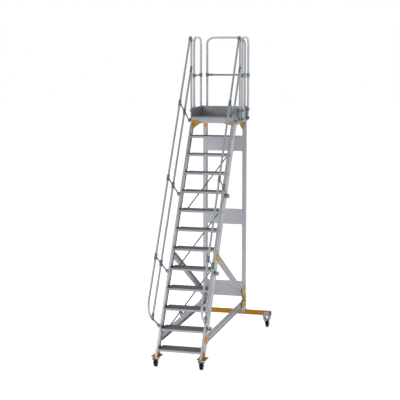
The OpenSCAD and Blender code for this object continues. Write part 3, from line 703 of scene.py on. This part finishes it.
def make_wheel(corner):
    """Rubber tyre with a crowned, grooved tread on a ribbed hub."""
    centre, radius, hub_half = wheel_centre(corner)
    half = hub_half - 4 * MM
    place = facing(centre, (1, 0, 0))
    shoulder, rim = 6 * MM, radius - 14 * MM
    bm = bmesh.new()
    right = [(rim, half - 5 * MM), (rim + 3 * MM, half - 1.5 * MM), (radius - 8 * MM, half)]
    right += [(radius - shoulder + shoulder * math.sin(a), half - shoulder + shoulder * math.cos(a))
              for a in (math.radians(t) for t in (10, 35, 60, 82))]
    grooves, floor = [], radius - 1.4 * MM
    for h in (half * 0.42, -half * 0.42):
        grooves += [(radius, h + 1.2 * MM), (floor, h + 0.6 * MM), (floor, h - 0.6 * MM), (radius, h - 1.2 * MM)]
    left = [(r, -h) for r, h in reversed(right)]
    seat = rim - 0.5 * MM
    lathe(bm, place, right + grooves + left + [(seat, -half + 6 * MM), (seat, half - 6 * MM), right[0]], 72)
    dress(new_object("tyre_" + corner, bm), [RUBBER], "roller_" + corner, ["wheel_" + corner])
    bm = bmesh.new()
    hub, bore, web, spokes = 15 * MM, 5.1 * MM, 5 * MM, 8
    edge, step, flange = 2 * MM, 1 * MM, half - 5 * MM
    outline = [(bore, -hub_half), (hub - edge, -hub_half), (hub, -hub_half + edge), (hub + step, -web),
               (rim - 3 * MM, -web), (rim - step, -flange), (rim, -flange), (rim, flange), (rim - step, flange),
               (rim - 3 * MM, web), (hub + step, web), (hub, hub_half - edge), (hub - edge, hub_half),
               (bore, hub_half), (bore, -hub_half)]
    lathe(bm, place, outline, 48)
    for k in range(spokes):
        spoke = place @ Matrix.Rotation(2 * math.pi * k / spokes, 4, "Z")
        add_box(bm, spoke, (hub - step, -1.2 * MM, -half + 6 * MM), (seat, 1.2 * MM, half - 6 * MM))
    dress(new_object("hub_" + corner, bm), [HUB_PLASTIC], "roller_" + corner)


def add_box(bm, place, low, high, chamfer=0.0):
    """Block between two corners in a local frame, with chamfered upright edges where asked."""
    (x0, y0, z0), (x1, y1, z1) = low, high
    c = chamfer
    if c:
        outline = [(x0 + c, y0), (x1 - c, y0), (x1, y0 + c), (x1, y1 - c), (x1 - c, y1), (x0 + c, y1),
                   (x0, y1 - c), (x0, y0 + c)]
    else:
        outline = [(x0, y0), (x1, y0), (x1, y1), (x0, y1)]
    rings = [[bm.verts.new(place @ Vector((x, y, z))) for x, y in outline] for z in (z0, z1)]
    for k in range(len(outline)):
        j = (k + 1) % len(outline)
        bm.faces.new((rings[0][k], rings[0][j], rings[1][j], rings[1][k]))
    bm.faces.new(rings[0][::-1])
    bm.faces.new(rings[1])


def make_fork_hardware(corner):
    """Axle nuts and the lip over the ball race, which turn with a fork."""
    centre, _, hub_half = wheel_centre(corner)
    fork_low, fork_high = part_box("fork_" + corner)
    swivel_x = (fork_low.x + fork_high.x) / 2
    swivel_y = next(j["pos_m"][1] for j in frame["joints"] if j["child"] == "swivel_" + corner)
    bm = bmesh.new()
    for sign in (-1, 1):
        at = centre + Vector((sign * (hub_half + 8 * MM), 0, 0))
        hex_bolt(bm, at, (sign, 0, 0), AXLE_NUT, AXLE_NUT_HEIGHT)
    race = facing((swivel_x, swivel_y, fork_high.z - 9 * MM), (0, 0, 1))
    lathe(bm, race, [(12 * MM, 0), (22 * MM, 0), (24 * MM, 1.2 * MM), (24 * MM, 3 * MM), (12 * MM, 3 * MM)], 40)
    dress(new_object("axle_nuts_" + corner, bm), [ZINC], "swivel_" + corner)


def make_plate_bolts():
    """Four bolts through each caster plate and the bracket above it."""
    bm = bmesh.new()
    half_x, half_y = 38 * MM, 30 * MM
    for low, high, _ in islands("caster_plates"):
        x, y = (low.x + high.x) / 2, (low.y + high.y) / 2
        for dx in (-half_x, half_x):
            for dy in (-half_y, half_y):
                hex_bolt(bm, (x + dx, y + dy, high.z + 5 * MM), (0, 0, 1), PLATE_BOLT, PLATE_BOLT_HEIGHT)
                rivet(bm, (x + dx, y + dy, high.z - 4 * MM), (0, 0, -1), PLATE_RIVET)
    dress(new_object("plate_bolts", bm), [ZINC])


def make_pedal(corner):
    """Curved brake pedal with tread ribs, barrel and cam."""
    joint = next(j for j in frame["joints"] if j["child"] == "brake_" + corner)
    low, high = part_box("brake_pedal_" + corner)
    pivot = Vector(joint["pos_m"])
    half, reach = (high.x - low.x) / 2, abs(low.y - pivot.y)
    flip = Matrix.Translation(pivot) @ Matrix.Scale(-1, 4, (0, 1, 0))
    bm = bmesh.new()
    bore, barrel, edge = 4.1 * MM, 7.5 * MM, 0.6 * MM
    lathe(bm, flip @ facing((-half, 0, 0), (1, 0, 0)),
          [(bore, 0), (barrel - edge, 0), (barrel, edge), (barrel, 2 * half - edge),
           (barrel - edge, 2 * half), (bore, 2 * half), (bore, 0)], 32)
    rows, thick, start = 12, 2.6 * MM, 6 * MM
    curve = [(start + k / rows * (reach - start), 3.6 * MM - 5 * MM * (k / rows) ** 2) for k in range(rows + 1)]
    upper, lower = [], []
    for k, (y, z) in enumerate(curve):
        share = k / rows
        width = half * (0.9 + 0.1 * math.sin(math.pi * share))
        width *= 1 - 0.18 * max(0, share - 0.8) / 0.2
        upper.append([flip @ Vector((x, y, z)) for x in (-width, width)])
        lower.append([flip @ Vector((x, y, z - thick)) for x in (-width, width)])
    top = [[bm.verts.new(p) for p in row] for row in upper]
    bottom = [[bm.verts.new(p) for p in row] for row in lower]
    for k in range(rows):
        bm.faces.new((top[k][0], top[k][1], top[k + 1][1], top[k + 1][0]))
        bm.faces.new((bottom[k][0], bottom[k + 1][0], bottom[k + 1][1], bottom[k][1]))
        for s in (0, 1):
            bm.faces.new((top[k][s], top[k + 1][s], bottom[k + 1][s], bottom[k][s]))
    for k in (0, rows):
        bm.faces.new((top[k][0], top[k][1], bottom[k][1], bottom[k][0]))
    for y, z in curve[3:rows]:
        add_box(bm, flip, (-0.74 * half, y - 0.7 * MM, z - 0.5 * MM), (0.74 * half, y + 0.7 * MM, z + 0.5 * MM))
    add_box(bm, flip, (-14 * MM, -3 * MM, -12 * MM), (14 * MM, 3 * MM, -5 * MM), 1 * MM)
    dress(new_object("pedal_" + corner, bm), [ZINC], "brake_" + corner, ["brake_pedal_" + corner])


# ---------- assembly ----------

# Radius of the rounded edges in millimetres
ROUNDED = {
    "stile_left": 1.0, "stile_right": 1.0, "post_left": 0.9, "post_right": 0.9, "base_beam": 1.4,
    "upper_braces": 0.7, "lower_braces": 0.7, "brace_brackets": 0.9, "platform_gussets": 0.8,
    "foot_brackets": 0.9, "caster_saddles": 1.0, "post_foot_clamps": 0.9, "side_toe_boards": 0.9,
    "rear_toe_board": 0.9, "platform_side_beams": 0.9, "platform_cross_beams": 0.9, "back_panels": 0.6,
    "strut_brackets": 1.6, "rail_clamps": 1.3, "guard_clamps": 1.3, "leg_clamps": 1.6,
    "caster_plates": 0.7, "tie_rods": 0.8, "beam_end_caps": 1.8,
}
FORK_ROUNDED = 0.6
GROOVED = ("stile_left", "stile_right", "post_left", "post_right", "upper_braces", "lower_braces")


def finish_cad_nodes():
    """Rounds the edges of the metalwork and gives every other CAD node its material."""
    for node, width in ROUNDED.items():
        piece = finish_node(node, width * MM)
        materials = [NODE_FINISH[node]]
        if node in GROOVED:
            darken_grooves(piece)
            materials.append(GROOVE_SHADE)
        dress(piece, materials, nodes=[node])
    for corner in CORNERS:
        node = "fork_" + corner
        dress(finish_node(node, FORK_ROUNDED * MM), [ZINC], "swivel_" + corner, [node])
    for node, material in NODE_FINISH.items():
        if node not in ROUNDED:
            node_object = frame["nodes"][node]
            node_object.data.materials.clear()
            node_object.data.materials.append(material)


finish_cad_nodes()
make_bolts("tread_bolts", TREAD_BOLT)
make_bolts("frame_bolts", FRAME_BOLT)
make_clamp_screws()
make_rivets()
make_beam_hardware()
make_treads()
make_deck()
make_plugs()
make_plate_bolts()
for corner in CORNERS:
    make_wheel(corner)
    make_fork_hardware(corner)
for corner in CORNERS[:2]:
    make_pedal(corner)
make_camera()
make_floor()
make_studio()
